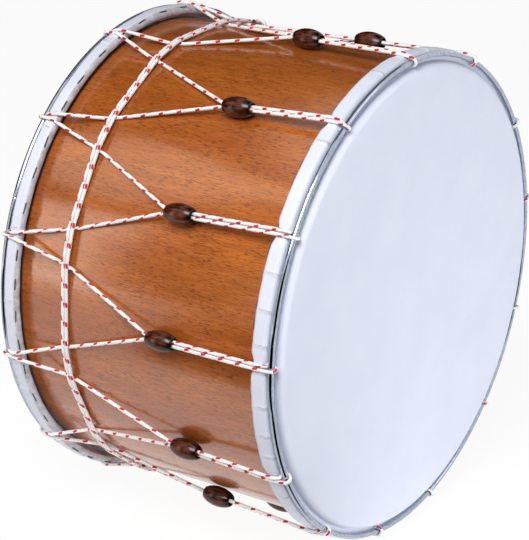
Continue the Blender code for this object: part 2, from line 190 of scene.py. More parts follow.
# The two heads are goat hides, scraped white. Each is laid on wet, bent down over the shell's edge
# and lapped round its hoop, and its edge is folded under the hoop. Where the slack is taken up,
# short pleats cross the lap, and the fold underneath is puckered and greyer than the face.
HIDE = 0.0008
CLEARANCE = 0.0003
RING_PLANE = 0.1349
FACE_STANDOFF = 0.0052
LAP_RADIUS = 0.2113
LAPS = {"near": {"top": 0.0034, "bottom": 0.0190, "top_round": 0.0040, "bottom_round": 0.0045},
        "far": {"top": 0.0030, "bottom": 0.0160, "top_round": 0.0020, "bottom_round": 0.0045}}
HEM_WAVE = 0.0011
HEM_LIFT = 0.0029
LIFT_WIDTH = 0.0078
LOOP_DENT = 0.0022
DENT_WIDTH = 0.0035
CREVICE = 0.0065
TUCK_SLIT = 0.0009
PLEATS = {"near": [-36.3, -66.9, -74.8, -82.4, -96.5, -103.8, -109.7, -123.2, -12.0, 8.0, 33.0,
                   61.0, 75.0, 97.0, 118.0, 141.0, 152.0, 171.0, -139.0, -158.0],
          "far": [-20.0, -47.0, -71.0, -88.0, -112.0, -131.0, -150.0, 14.0, 38.0, 55.0, 83.0,
                  104.0, 127.0, 149.0, 176.0]}
LOOPS = [-1.2, -30.2, -57.9, -86.7, -115.9, -141.8, -168.0,
         -192.0, -222.4, -248.5, -277.7, -300.9, -332.4]
DENTS = {"near": LOOPS, "far": [(first + second) / 2 for first, second in zip(LOOPS, LOOPS[1:] + [LOOPS[0] - 360])]}
PLEAT_WIDTH = 0.0013
PLEAT_HEIGHT = 0.0009

# White hide, matt to satin. The eye sees a bluish white with faint clouds 30 to 60 mm across,
# a few thin scuffs from sticks, and a mottled grey where the edge is folded under the hoop. The same
# grey is painted shade in the crevice against the shell and in a thin line beside each pleat, and the far lap is a
# touch greyer all over.
hide, tree, shader, place = new_material("scraped white goat hide")
cloud = add(tree, "ShaderNodeTexNoise", {"Vector": place, "Scale": 22.0, "Detail": 4.0}).outputs[0]
cloud = add(tree, "ShaderNodeMapRange", {0: cloud, 1: 0.3, 2: 0.7}).outputs[0]
skin = add(tree, "ShaderNodeMix", {0: cloud, 6: linear("#DEE3F3"), 7: linear("#E3E8F6")}, data_type="RGBA")
scuff = add(tree, "ShaderNodeMapping", {0: place, "Rotation": (0.0, 0.9, 0.0), "Scale": (45.0, 45.0, 520.0)})
scuff = add(tree, "ShaderNodeTexNoise", {"Vector": scuff.outputs[0], "Scale": 1.0, "Detail": 1.0}).outputs[0]
scuff = add(tree, "ShaderNodeMapRange", {0: scuff, 1: 0.74, 2: 0.80, 3: 0.0, 4: 0.16}).outputs[0]
skin = add(tree, "ShaderNodeMix", {0: scuff, 6: skin.outputs[2], 7: linear("#C3C7D6")}, data_type="RGBA")
# Mask of that grey: the folded edge, plus painted shade in the crevice and beside each pleat.
fold_grey_and_shade = add(tree, "ShaderNodeAttribute", attribute_name="folded_edge").outputs["Fac"]
mottled_grey_and_shade = add(tree, "ShaderNodeTexNoise", {"Vector": place, "Scale": 170.0, "Detail": 4.0}).outputs[0]
mottled_grey_and_shade = add(tree, "ShaderNodeMapRange", {0: mottled_grey_and_shade, 1: 0.35, 2: 0.7, 3: 0.3, 4: 0.9}).outputs[0]
mottled_grey_and_shade = add(tree, "ShaderNodeMath", {0: mottled_grey_and_shade, 1: fold_grey_and_shade}, operation="MULTIPLY").outputs[0]
skin = add(tree, "ShaderNodeMix", {0: mottled_grey_and_shade, 6: skin.outputs[2], 7: linear("#A5A09F")}, data_type="RGBA")
pebble = add(tree, "ShaderNodeTexNoise", {"Vector": place, "Scale": 900.0, "Detail": 2.0}).outputs[0]
pebble = add(tree, "ShaderNodeBump", {"Strength": 0.12, "Distance": 0.0002, "Height": pebble}).outputs[0]
rough = add(tree, "ShaderNodeMapRange", {0: cloud, 3: 0.45, 4: 0.55}).outputs[0]
tree.links.new(skin.outputs[2], shader.inputs["Base Color"])
tree.links.new(rough, shader.inputs["Roughness"])
tree.links.new(pebble, shader.inputs["Normal"])
shader.inputs["IOR"].default_value = 1.45


def lap_outline(side, inset):
    """Radius and depth along the lap, from its top round to its fold, moved inwards by an inset."""
    top, bottom = LAPS[side]["top"], LAPS[side]["bottom"]
    high, low = LAPS[side]["top_round"], LAPS[side]["bottom_round"]
    points = round_corner(LAP_RADIUS - high, top + high, high - inset, -90, 0, 8)
    return points + round_corner(LAP_RADIUS - low, bottom - low, low - inset, 0, 90, 8)


def make_head(side):
    """Face, bend, collar and lap of one hide, with its pleats."""
    facing = -1 if side == "near" else 1
    top, bottom = LAPS[side]["top"], LAPS[side]["bottom"]
    fold_start = bottom - LAPS[side]["bottom_round"]
    inner = SHELL_RADIUS + CLEARANCE
    outer = inner + HIDE
    bend = BEARING_ROUND + CLEARANCE
    bend_depth = HIDE + CLEARANCE + BEARING_ROUND - FACE_STANDOFF
    skin = [(radius, -FACE_STANDOFF) for radius in (0.0, 0.07, 0.13, 0.17)]
    skin += [(radius, 2 * bend_depth - depth) for radius, depth in
             round_corner(SHELL_RADIUS - BEARING_ROUND, bend_depth, bend + HIDE, 90, 0, 8)]
    skin += [(outer, top - HIDE), (outer + HIDE, top)]
    first_lap = len(skin)
    skin += lap_outline(side, 0.0)
    skin += [(0.2052, bottom - 0.0004), (0.2043, bottom - 0.0020), (outer + 0.0004, bottom - CREVICE)]
    last_lap = len(skin)
    skin += [(inner, bottom - CREVICE - 0.0004), (inner, top + HIDE + TUCK_SLIT),
             (outer, top + HIDE + TUCK_SLIT), (outer, bottom - CREVICE - HIDE)]
    skin += reversed(lap_outline(side, HIDE))
    skin += [(inner, top + HIDE)]
    skin += [(radius, 2 * bend_depth - depth) for radius, depth in
             round_corner(SHELL_RADIUS - BEARING_ROUND, bend_depth, bend, 0, 90, 8)]
    skin += [(0.0, HIDE - FACE_STANDOFF)]
    outline = [(radius, facing * (RING_PLANE - depth)) for radius, depth in skin]

    def pucker(number, radius, along, turn):
        depth = skin[number][1]
        low = max(0.0, min(1.0, (depth - 0.009) / (bottom - 0.009)))
        along += facing * HEM_WAVE * math.cos(2 * turn + math.radians(100)) * low
        if side == "near":
            for angle in LOOPS:
                away = math.remainder(turn - math.radians(angle), math.tau) * LAP_RADIUS / LIFT_WIDTH
                along += facing * HEM_LIFT * math.exp(-away ** 4) * low
        if not first_lap < number < last_lap:
            return radius, along
        under = max(0.0, min(1.0, (depth - fold_start) / (bottom - fold_start)))
        wave = 0.00012 * (math.sin(17 * turn + 1.1) + math.sin(29 * turn + 2.3) + math.sin(47 * turn))
        out = wave * (1 - under)
        dent = 0.0
        for angle in DENTS[side]:
            away = math.remainder(turn - math.radians(angle), math.tau) * LAP_RADIUS / DENT_WIDTH
            dent += LOOP_DENT * math.exp(-away ** 4) * max(0.0, 1 - (depth - top) / 0.0045)
        for angle in PLEATS[side]:
            away = math.remainder(turn - math.radians(angle), math.tau) * LAP_RADIUS / PLEAT_WIDTH
            if abs(away) < 4:
                fade = max(0.0, 1 - (depth - top) / (0.75 * (bottom - top))) ** 0.5
                out += PLEAT_HEIGHT * math.exp(-away * away / 2) * (0.7 + 0.6 * away) * fade
        lump = 0.00028 * (math.sin(61 * turn) * math.sin(23 * turn + 0.7)) * under
        return radius + out, along - facing * (lump + dent)

    turns = set(even_turns(480))
    for angle in PLEATS[side]:
        turns |= {(math.radians(angle) + step * PLEAT_WIDTH / LAP_RADIUS / 3) % math.tau for step in range(-11, 12)}
    head = turned(side + "_hide", outline, sorted(turns), pucker)
    # The grey mask: the folded edge, painted shade in the crevice and beside each pleat, and a touch on the far lap.
    fold_grey_and_shade = head.data.attributes.new("folded_edge", "FLOAT", "POINT")
    for vertex, value in zip(head.data.vertices, fold_grey_and_shade.data):
        depth = RING_PLANE - facing * vertex.co.y
        radius = math.hypot(vertex.co.x, vertex.co.z - AXIS_HEIGHT)
        # Painted shade where the hide turns in towards the shell in the crevice.
        inwards = 0.2060 - radius if depth > bottom - CREVICE - 0.001 else 0.0
        value.value = max(0.0, min(1.0, max(depth - fold_start - 0.0010, inwards) / 0.0012))
        # The far lap is made a touch greyer all over.
        if side == "far" and depth > top:
            value.value = max(value.value, 0.10)
        # Painted shade: a thin dark line on one side of each pleat, for the shade of its crease.
        if radius > LAP_RADIUS - 0.0020 and depth < fold_start:
            turn = math.atan2(vertex.co.x, vertex.co.z - AXIS_HEIGHT)
            for angle in PLEATS[side]:
                away = math.remainder(turn - math.radians(angle), math.tau) * LAP_RADIUS / PLEAT_WIDTH
                value.value = max(value.value, 1.2 * math.exp(-((away - 1.1) / 0.45) ** 2))
    head.data.materials.append(hide)
    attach(head, "drum")
    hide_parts(side + "_head")


make_head("near")
make_head("far")

# Inside each lap is a flesh hoop, a ring of steamed beech that the hide is lapped round. The hide
# hides it, so it has a plain section that fills the lap.
HOOP_INNER = 0.2014

# Steamed beech, left bare: pale pinkish brown with short flecks about 2 mm long.
beech, tree, shader, place = new_material("steamed beech")
fleck = add(tree, "ShaderNodeTexNoise", {"Vector": place, "Scale": 500.0, "Detail": 2.0}).outputs[0]
fleck = add(tree, "ShaderNodeMapRange", {0: fleck, 1: 0.5, 2: 0.7, 3: 0.0, 4: 0.5}).outputs[0]
tone = add(tree, "ShaderNodeMix", {0: fleck, 6: linear("#D3AB83"), 7: linear("#A9805A")}, data_type="RGBA")
tree.links.new(tone.outputs[2], shader.inputs["Base Color"])
shader.inputs["Roughness"].default_value = 0.6

for side, facing in (("near", -1), ("far", 1)):
    lift = HEM_WAVE + (HEM_LIFT if side == "near" else 0.0)
    section = [(radius, min(depth, LAPS[side]["bottom"] - HIDE - lift - 2 * CLEARANCE))
               for radius, depth in lap_outline(side, HIDE + CLEARANCE)]
    section = [(HOOP_INNER, section[0][1])] + section
    section += [(HOOP_INNER, LAPS[side]["bottom"] - CREVICE - HIDE - lift - CLEARANCE)]
    hoop = turned(side + "_beech_hoop", [(radius, facing * (RING_PLANE - depth)) for radius, depth in section],
                  even_turns(240))
    hoop.data.materials.append(beech)
    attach(hoop, "drum")
    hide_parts(side + "_flesh_hoop")

# A steel ring sits on each lap and takes the rope's pull. It is a round rod, bent into a hoop,
# butt welded and ground, so a faint groove shows at the joint.
ROD = 0.00235
RING_RADIUS = 0.2079
RING_STEPS = 360
ROD_STEPS = 28
WELD_ANGLES = {"near": 24.5, "far": -64.0}
GROOVE = 0.0004
GROOVE_HALF = 0.0012

# Polished steel rod. The eye sees a bright mirror line with dark bands beside it, a slightly blue
# grey, and fine draw marks round the hoop that blur the mirror a little.
steel, tree, shader, place = new_material("polished steel rod")
mark = add(tree, "ShaderNodeTexNoise", {"Vector": place, "Scale": 240.0, "Detail": 3.0}).outputs[0]
rough = add(tree, "ShaderNodeMapRange", {0: mark, 1: 0.35, 2: 0.7, 3: 0.07, 4: 0.14}).outputs[0]
tone = add(tree, "ShaderNodeMapRange", {0: mark, 1: 0.4, 2: 0.7}).outputs[0]
tone = add(tree, "ShaderNodeMix", {0: tone, 6: linear("#B2BAC8"), 7: linear("#9EA7B6")}, data_type="RGBA")
tree.links.new(tone.outputs[2], shader.inputs["Base Color"])
tree.links.new(rough, shader.inputs["Roughness"])
shader.inputs["Metallic"].default_value = 1.0

for side, facing in (("near", -1), ("far", 1)):
    weld = math.radians(WELD_ANGLES[side])
    turns = [math.tau * step / RING_STEPS for step in range(RING_STEPS)]
    turns = [turn for turn in turns if abs(math.remainder(turn - weld, math.tau)) > 7 * GROOVE_HALF]
    turns = sorted(turns + [(weld + GROOVE_HALF * share) % math.tau for share in (-5, -2, -1, 0, 1, 2, 5)])
    bm = bmesh.new()
    rows = []
    for turn in turns:
        near_weld = abs(math.remainder(turn - weld, math.tau)) / GROOVE_HALF
        size = ROD - (GROOVE if near_weld < 0.5 else 0.4 * GROOVE if near_weld < 1.5 else 0.0)
        row = []
        for step in range(ROD_STEPS):
            lean = math.tau * step / ROD_STEPS
            out = RING_RADIUS + size * math.cos(lean)
            along = facing * RING_PLANE + size * math.sin(lean)
            row.append(bm.verts.new((out * math.sin(turn), along, AXIS_HEIGHT + out * math.cos(turn))))
        rows.append(row)
    for first, second in zip(rows, rows[1:] + rows[:1]):
        for step in range(ROD_STEPS):
            after = (step + 1) % ROD_STEPS
            bm.faces.new((first[step], first[after], second[after], second[step]))
    ring = finished(side + "_rod_ring", bm)
    ring.data.materials.append(steel)
    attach(ring, "drum")
    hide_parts(side + "_steel_ring")

# One long braided cord laces the two rings together: thirteen loops on each, each loop drawn once
# round the rod. Near the near ring its two strands run side by side through a bead, and beyond it
# they part and cross the drum to two loops on the far ring. It is pulled taut by hand.
CORD = 0.00155
STRAND = CORD + 0.00025
BEAD_DEPTHS = [0.1045, 0.099, 0.106, 0.105, 0.0975, 0.107, 0.100,
               0.100, 0.098, 0.101, 0.103, 0.099, 0.102]
BEAD_LEANS = [1.8, -1.0, -1.0, -0.7, -0.4, 0.0, 0.0,
              0.0, 0.0, 0.0, 0.0, 0.0, 0.0]
BEAD_RADIUS = 0.0086
BEAD_LENGTH = 0.027
BEAD_SEAT = SHELL_RADIUS + 0.0004 + BEAD_RADIUS
CROTCH = 0.0015
STEM_RADIUS = LAP_RADIUS + CORD + 0.0002
STEM_DEPTH = 0.0110
RING_EXIT_DEPTH = 0.0080
EDGE_DEPTH = 0.0118
BELT_DEPTH = 0.209
BELT_SPREAD = 4.3
BELT_FLAT = 0.006
UNDER_BELT = SHELL_RADIUS + CLEARANCE + CORD
BELT_RADIUS = UNDER_BELT + 2 * CORD + CLEARANCE
LAST_LOOP = 10
SPACING = 2 * RING_PLANE


def on_drum(depth, radius, angle, sideways=0.0):
    """Point by its depth from the near ring, its radius and its angle from the top."""
    turn = math.radians(angle)
    outward = Vector((math.sin(turn), 0.0, math.cos(turn)))
    around = Vector((math.cos(turn), 0.0, -math.sin(turn)))
    return Vector((0.0, depth - RING_PLANE, AXIS_HEIGHT)) + outward * radius + around * sideways


def near_angle(loop):
    turns, index = divmod(loop, len(LOOPS))
    return LOOPS[index] - 360 * turns


def far_angle(loop):
    return (near_angle(loop) + near_angle(loop + 1)) / 2


def rod_wrap(angle, at_far_ring):
    """The cord once round a rod, squeezed a little where it passes under the hide's lap."""
    points = []
    for turn in range(40, 361, 10):
        share = (turn - 40) / 320
        squeeze = 0.78 + 0.17 * max(0.0, min(1.0, (turn - 235) / 40))
        reach = ROD + CORD * squeeze + 0.0002
        depth = reach * math.sin(math.radians(turn))
        if at_far_ring:
            depth = SPACING - depth
        radius = RING_RADIUS + reach * math.cos(math.radians(turn))
        points.append((on_drum(depth, radius, angle, STRAND * math.cos(math.pi * share)), squeeze))
    return points


def near_loop(loop):
    """From beyond a bead, round the near ring and back through the bead."""
    angle = near_angle(loop)
    bead_depth = BEAD_DEPTHS[loop % len(LOOPS)]
    crotch = bead_depth + BEAD_LENGTH / 2 + CROTCH
    beyond = (crotch - bead_depth) / (bead_depth - STEM_DEPTH)
    crotch_radius = BEAD_SEAT - (STEM_RADIUS - BEAD_SEAT) * beyond
    crotch_angle = angle + BEAD_LEANS[loop % len(LOOPS)] * (1 + beyond)
    points = [(on_drum(crotch, crotch_radius, crotch_angle, STRAND), 1.0),
              (on_drum(STEM_DEPTH, STEM_RADIUS, angle, STRAND), 1.0),
              (on_drum(RING_EXIT_DEPTH, STEM_RADIUS, angle, STRAND), 0.95)]
    points += rod_wrap(angle, False)
    points += [(on_drum(STEM_DEPTH, STEM_RADIUS, angle, -STRAND), 1.0),
               (on_drum(crotch, crotch_radius, crotch_angle, -STRAND), 1.0)]
    return points


def far_leg(angle, side):
    """From under the belt to the far lap's edge, on one side of a far loop."""
    belt_edge = BELT_DEPTH + BELT_FLAT
    start = UNDER_BELT * math.radians(BELT_SPREAD - 0.4)
    share = (EDGE_DEPTH - RING_EXIT_DEPTH) / (SPACING - RING_EXIT_DEPTH - belt_edge)
    sideways = STRAND + (start - STRAND) * share
    return [(on_drum(BELT_DEPTH - BELT_FLAT, UNDER_BELT, angle + side * (BELT_SPREAD + 0.6)), 1.0),
            (on_drum(belt_edge, UNDER_BELT, angle + side * (BELT_SPREAD - 0.4)), 1.0),
            (on_drum(SPACING - EDGE_DEPTH, STEM_RADIUS, angle, side * sideways), 1.0)]


def far_loop(loop):
    """From under the belt, round the far ring and back under the belt."""
    angle = far_angle(loop)
    points = far_leg(angle, 1)
    points.append((on_drum(SPACING - RING_EXIT_DEPTH, STEM_RADIUS, angle, STRAND), 0.95))
    points += rod_wrap(angle, True)
    return points + list(reversed(far_leg(angle, -1)))


# Polyester braid, sixteen carriers, white with a band of red tracer yarns. The eye sees a soft
# white cord with faint slanting shadows between the yarns, and bold red dashes about 4.5 mm long,
# three to each turn, because the tracer goes over and under the others.
BRAID_PITCH = 0.014
TRACER_PITCH = 0.0168
DASH_PITCH = 0.040
TRACER_WIDTH = 0.0023
DASH_SPACING = 0.0056
DASH_SHARE = 0.80
braid, tree, shader, place = new_material("white polyester braid with red tracers")
lay = add(tree, "ShaderNodeAttribute", attribute_name="lay").outputs["Vector"]
lay = add(tree, "ShaderNodeSeparateXYZ", {0: lay}).outputs
round_it = add(tree, "ShaderNodeMath", {0: lay[1], 1: lay[0]}, operation="ARCTAN2").outputs[0]
round_it = add(tree, "ShaderNodeMath", {0: round_it, 1: math.tau}, operation="DIVIDE").outputs[0]
pitch = add(tree, "ShaderNodeMath", {0: lay[2], 1: 1 / BRAID_PITCH}, operation="MULTIPLY").outputs[0]
left = add(tree, "ShaderNodeMath", {0: pitch, 1: round_it}, operation="ADD").outputs[0]
right = add(tree, "ShaderNodeMath", {0: pitch, 1: round_it}, operation="SUBTRACT").outputs[0]
left = add(tree, "ShaderNodeMath", {0: left, 1: 8.0}, operation="MULTIPLY").outputs[0]
right = add(tree, "ShaderNodeMath", {0: right, 1: 8.0}, operation="MULTIPLY").outputs[0]
left = add(tree, "ShaderNodeMath", {0: left, 1: 1.0}, operation="PINGPONG").outputs[0]
right = add(tree, "ShaderNodeMath", {0: right, 1: 1.0}, operation="PINGPONG").outputs[0]
height = add(tree, "ShaderNodeMath", {0: left, 1: right}, operation="MINIMUM").outputs[0]
# The hollows between the yarns are painted grey as painted shade, besides their bump.
hollow = add(tree, "ShaderNodeMapRange", {0: height, 1: 0.0, 2: 0.35, 3: 1.0, 4: 0.0}).outputs[0]
yarn = add(tree, "ShaderNodeMix", {0: hollow, 6: linear("#F8F8F7"), 7: linear("#DCDEE1")}, data_type="RGBA")
steps = add(tree, "ShaderNodeMath", {0: lay[2], 1: 1 / DASH_SPACING}, operation="MULTIPLY").outputs[0]
whole = add(tree, "ShaderNodeMath", {0: steps}, operation="ROUND").outputs[0]
part = add(tree, "ShaderNodeMath", {0: steps, 1: whole}, operation="SUBTRACT").outputs[0]
slow = add(tree, "ShaderNodeMath", {0: whole, 1: DASH_SPACING / TRACER_PITCH}, operation="MULTIPLY").outputs[0]
turned_part = add(tree, "ShaderNodeMath", {0: part, 1: DASH_SPACING / DASH_PITCH}, operation="MULTIPLY").outputs[0]
slow = add(tree, "ShaderNodeMath", {0: slow, 1: turned_part}, operation="ADD").outputs[0]
slow = add(tree, "ShaderNodeMath", {0: slow, 1: round_it}, operation="ADD").outputs[0]
slow = add(tree, "ShaderNodeMath", {0: slow, 1: 0.5}, operation="PINGPONG").outputs[0]
half_width = TRACER_WIDTH / (2 * math.tau * CORD)
tracer = add(tree, "ShaderNodeMapRange", {0: slow, 1: half_width * 0.85, 2: half_width * 1.15, 3: 1.0, 4: 0.0})
over = add(tree, "ShaderNodeMath", {0: part}, operation="ABSOLUTE").outputs[0]
over = add(tree, "ShaderNodeMapRange", {0: over, 1: DASH_SHARE / 2 - 0.04, 2: DASH_SHARE / 2, 3: 1.0, 4: 0.0})
dash = add(tree, "ShaderNodeMath", {0: tracer.outputs[0], 1: over.outputs[0]}, operation="MULTIPLY").outputs[0]
yarn = add(tree, "ShaderNodeMix", {0: dash, 6: yarn.outputs[2], 7: linear("#C80026")}, data_type="RGBA")
relief = add(tree, "ShaderNodeBump", {"Strength": 0.15, "Distance": 0.0002, "Height": height}).outputs[0]
tree.links.new(yarn.outputs[2], shader.inputs["Base Color"])
tree.links.new(relief, shader.inputs["Normal"])
shader.inputs["Roughness"].default_value = 0.75
shader.inputs["Sheen Weight"].default_value = 0.05

# The tree that turns a cord's route into a cord: its bends are eased, a round section follows it,
# and each point keeps its place round and along the cord, so that the braid's pattern follows.
cord_tree = bpy.data.node_groups.new("Cord along its route", "GeometryNodeTree")
face = cord_tree.interface
face.new_socket("Route", in_out="INPUT", socket_type="NodeSocketGeometry")
face.new_socket("Cord radius", in_out="INPUT", socket_type="NodeSocketFloat")
face.new_socket("Bend radius", in_out="INPUT", socket_type="NodeSocketFloat")
face.new_socket("Sides", in_out="INPUT", socket_type="NodeSocketInt")
face.new_socket("Finish", in_out="INPUT", socket_type="NodeSocketMaterial")
face.new_socket("Cord", in_out="OUTPUT", socket_type="NodeSocketGeometry")
given = add(cord_tree, "NodeGroupInput").outputs
eased = add(cord_tree, "GeometryNodeFilletCurve", {"Curve": given["Route"], "Count": 4, "Limit Radius": True,
                                                   "Radius": given["Bend radius"]}, mode="POLY").outputs[0]
length = add(cord_tree, "GeometryNodeSplineParameter").outputs["Length"]
marked = add(cord_tree, "GeometryNodeStoreNamedAttribute", {"Geometry": eased, "Name": "along", "Value": length})
circle = add(cord_tree, "GeometryNodeCurvePrimitiveCircle",
             {"Resolution": given["Sides"], "Radius": given["Cord radius"]}).outputs[0]
share = add(cord_tree, "GeometryNodeSplineParameter").outputs["Factor"]
circle = add(cord_tree, "GeometryNodeStoreNamedAttribute", {"Geometry": circle, "Name": "turn", "Value": share})
width = add(cord_tree, "GeometryNodeInputRadius").outputs[0]
tube = add(cord_tree, "GeometryNodeCurveToMesh", {"Curve": marked.outputs[0], "Profile Curve": circle.outputs[0],
                                                  "Scale": width, "Fill Caps": True}).outputs[0]
turn = add(cord_tree, "GeometryNodeInputNamedAttribute", {"Name": "turn"}).outputs[0]
turn = add(cord_tree, "ShaderNodeMath", {0: turn, 1: math.tau}, operation="MULTIPLY").outputs[0]
across = add(cord_tree, "ShaderNodeMath", {0: turn}, operation="COSINE").outputs[0]
upward = add(cord_tree, "ShaderNodeMath", {0: turn}, operation="SINE").outputs[0]
along = add(cord_tree, "GeometryNodeInputNamedAttribute", {"Name": "along"}).outputs[0]
lay = add(cord_tree, "ShaderNodeCombineXYZ", {0: across, 1: upward, 2: along}).outputs[0]
laid = add(cord_tree, "GeometryNodeStoreNamedAttribute", {"Geometry": tube, "Name": "lay", "Value": lay},
           data_type="FLOAT_VECTOR").outputs[0]
smooth = add(cord_tree, "GeometryNodeSetShadeSmooth", {"Geometry": laid}).outputs[0]
real = add(cord_tree, "GeometryNodeRealizeInstances", {"Geometry": smooth}).outputs[0]
coated = add(cord_tree, "GeometryNodeSetMaterial", {"Geometry": real, "Material": given["Finish"]}).outputs[0]
add(cord_tree, "NodeGroupOutput", {0: coated})


def grown(name, source, group, **values):
    """Plain mesh that a node tree makes from an object, at the origin."""
    modifier = source.modifiers.new(group.name, "NODES")
    modifier.node_group = group
    for item in group.interface.items_tree:
        key = item.name.replace(" ", "_").lower()
        if key in values:
            modifier[item.identifier] = values[key]
    seen = source.evaluated_get(bpy.context.evaluated_depsgraph_get())
    mesh = bpy.data.meshes.new_from_object(seen)
    mesh.name = name
    source.modifiers.remove(modifier)
    bpy.data.objects.remove(source)
    made = bpy.data.objects.new(name, mesh)
    bpy.context.scene.collection.objects.link(made)
    return made


def laid_cord(name, points, bend=0.006, sides=14, size=CORD, finish=braid):
    """Braided cord through points, each with its share of the cord's full thickness."""
    route = bpy.data.curves.new(name + "_route", "CURVE")
    route.dimensions = "3D"
    spline = route.splines.new("POLY")
    spline.points.add(len(points) - 1)
    for spot, (point, share) in zip(spline.points, points):
        spot.co = (*point, 1.0)
        spot.radius = share
    source = bpy.data.objects.new(name + "_route", route)
    bpy.context.scene.collection.objects.link(source)
    return grown(name, source, cord_tree, cord_radius=size, bend_radius=bend, sides=sides, finish=finish)


lacing = []
for loop in range(LAST_LOOP, LAST_LOOP + len(LOOPS)):
    lacing += near_loop(loop) + far_loop(loop)
leg_end = far_leg(far_angle(LAST_LOOP - 1), -1)[0][0]
leg_start = lacing[0][0]
leg = (leg_end - leg_start).normalized()
KNOT_PLACE = leg_start.lerp(leg_end, 0.45)
lacing.insert(0, (KNOT_PLACE - leg * 0.0004, 1.0))
lacing.append((KNOT_PLACE + leg * 0.0004, 1.0))
rope = laid_cord("laced_rope", lacing)
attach(rope, "drum")
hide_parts("tension_rope")

# The belt is a second length of the same cord, doubled. It goes round the drum over every leg of
# the lacing and is drawn tight, which bends the legs sideways and tunes the heads.
BELT_KNOT = 24.0
BIGHT_PAST_KNOT = 1.9
crossings = []
for loop in range(-1, len(LOOPS) - 1):
    crossings += [far_angle(loop) + BELT_SPREAD, far_angle(loop) - BELT_SPREAD]
there = [BELT_KNOT] + crossings + [BELT_KNOT - 360 + BIGHT_PAST_KNOT]
girdle = [(on_drum(BELT_DEPTH - STRAND, BELT_RADIUS, angle), 1.0) for angle in there]
for step in range(1, 8):
    turn = math.pi * step / 8
    angle = there[-1] - math.degrees(STRAND * math.sin(turn) / BELT_RADIUS)
    girdle.append((on_drum(BELT_DEPTH - STRAND * math.cos(turn), BELT_RADIUS, angle), 1.0))
girdle += [(on_drum(BELT_DEPTH + STRAND, BELT_RADIUS, angle), 1.0) for angle in reversed(there)]
belt = laid_cord("doubled_belt", girdle, bend=0.05)
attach(belt, "drum")
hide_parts("belt_cord")

# The rope's two ends are joined on one leg by a barrel knot: each end is wound round the standing
# part and drawn tight, and a short tail with a melted tip stands out from it.
KNOT_HALF = 0.0058
KNOT_SQUEEZE = 0.86
TAIL_OUT = 0.0100
side_way = leg.cross(on_drum(0.0, 1.0, near_angle(LAST_LOOP)) - on_drum(0.0, 0.0, 0.0)).normalized()
out_way = side_way.cross(leg)
winding = []
for step in range(0, 76):
    turn = math.tau * step / 20
    reach = CORD * (1 + KNOT_SQUEEZE) + 0.0001
    centre = KNOT_PLACE + leg * (KNOT_HALF * (step / 37.5 - 1))
    winding.append((centre + (side_way * math.cos(turn) + out_way * math.sin(turn)) * reach, KNOT_SQUEEZE))
first_tail = KNOT_PLACE - leg * (KNOT_HALF + 0.0025) + side_way * TAIL_OUT + out_way * 0.001
last_tail = KNOT_PLACE + leg * (KNOT_HALF + 0.0025) - side_way * TAIL_OUT + out_way * 0.002
winding = [(first_tail, 0.95)] + winding + [(last_tail, 0.95)]
knot = laid_cord("barrel_knot", winding, bend=0.002)
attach(knot, "drum")
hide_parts("tension_rope_knot")

# The belt's ends pass through its bight, are tied down on it with a half hitch and are melted off
# short, so that a small dark bead of nylon closes each end.
HITCH_WIDE = 0.0044
HITCH_HIGH = 0.0031
HITCH_HALF = 0.0032
belt_out = (on_drum(0.0, 1.0, BELT_KNOT) - on_drum(0.0, 0.0, 0.0)).normalized()
belt_round = on_drum(0.0, 0.0, BELT_KNOT, 1.0) - on_drum(0.0, 0.0, BELT_KNOT)
belt_along = Vector((0.0, 1.0, 0.0))
knot_centre = on_drum(BELT_DEPTH, BELT_RADIUS, BELT_KNOT)


def at_knot(x, y, z):
    return knot_centre + belt_round * x + belt_along * y + belt_out * z


hitch = []
for step in range(0, 31):
    turn = math.tau * step / 20 - 2.2
    along = HITCH_HALF * (step / 15 - 1)
    hitch.append((at_knot(along, HITCH_WIDE * math.cos(turn), HITCH_HIGH * math.sin(turn) + 0.0002), 0.85))
hitch = [(at_knot(-0.0190, -0.0050, -0.0004), 0.9), (at_knot(-0.0075, -0.0046, 0.0008), 0.9)] + hitch
hitch += [(at_knot(0.0065, 0.0030, 0.0010), 0.9)]
tie = laid_cord("belt_hitch", hitch, bend=0.002)
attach(tie, "drum")
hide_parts("belt_knot")

# Melted cord: a hard, glossy blob, nearly black, where the yarns ran together under a flame.
melt, tree, shader, place = new_material("melted cord end")
char = add(tree, "ShaderNodeTexNoise", {"Vector": place, "Scale": 900.0, "Detail": 2.0}).outputs[0]
char = add(tree, "ShaderNodeMapRange", {0: char, 1: 0.35, 2: 0.7}).outputs[0]
tone = add(tree, "ShaderNodeMix", {0: char, 6: linear("#1C1413"), 7: linear("#4A3431")}, data_type="RGBA")
tree.links.new(tone.outputs[2], shader.inputs["Base Color"])
shader.inputs["Roughness"].default_value = 0.35
TIP = 0.0017
tips = [(hitch[0][0], hitch[0][0] - hitch[1][0]), (hitch[-1][0], hitch[-1][0] - hitch[-2][0]),
        (first_tail, first_tail - winding[1][0]), (last_tail, last_tail - winding[-2][0])]
for number, (tip, way) in enumerate(tips, 1):
    bm = bmesh.new()
    bmesh.ops.create_icosphere(bm, subdivisions=3, radius=TIP)
    for vertex in bm.verts:
        vertex.co *= 1 + 0.12 * math.sin(1100 * vertex.co.x + number) * math.cos(1300 * vertex.co.y)
        vertex.co.z *= 0.7
    facing = way.to_track_quat("Z", "Y").to_matrix().to_4x4()
    bmesh.ops.transform(bm, matrix=Matrix.Translation(tip) @ facing, verts=bm.verts)
    blob = finished(f"melted_tip_{number}", bm)
    blob.data.materials.append(melt)
    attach(blob, "drum")

# Thirteen beads, one on each loop. Each is turned from dark rosewood as an olive with flat ends,
# bored for two strands, and French polished. It slides along them to tighten or slacken the loop.
BEAD_END = 0.0050
BEAD_BORE = 0.0040
BEAD_SIDES = 40
BEAD_ROWS = 24
BORE_EASE = 0.0005
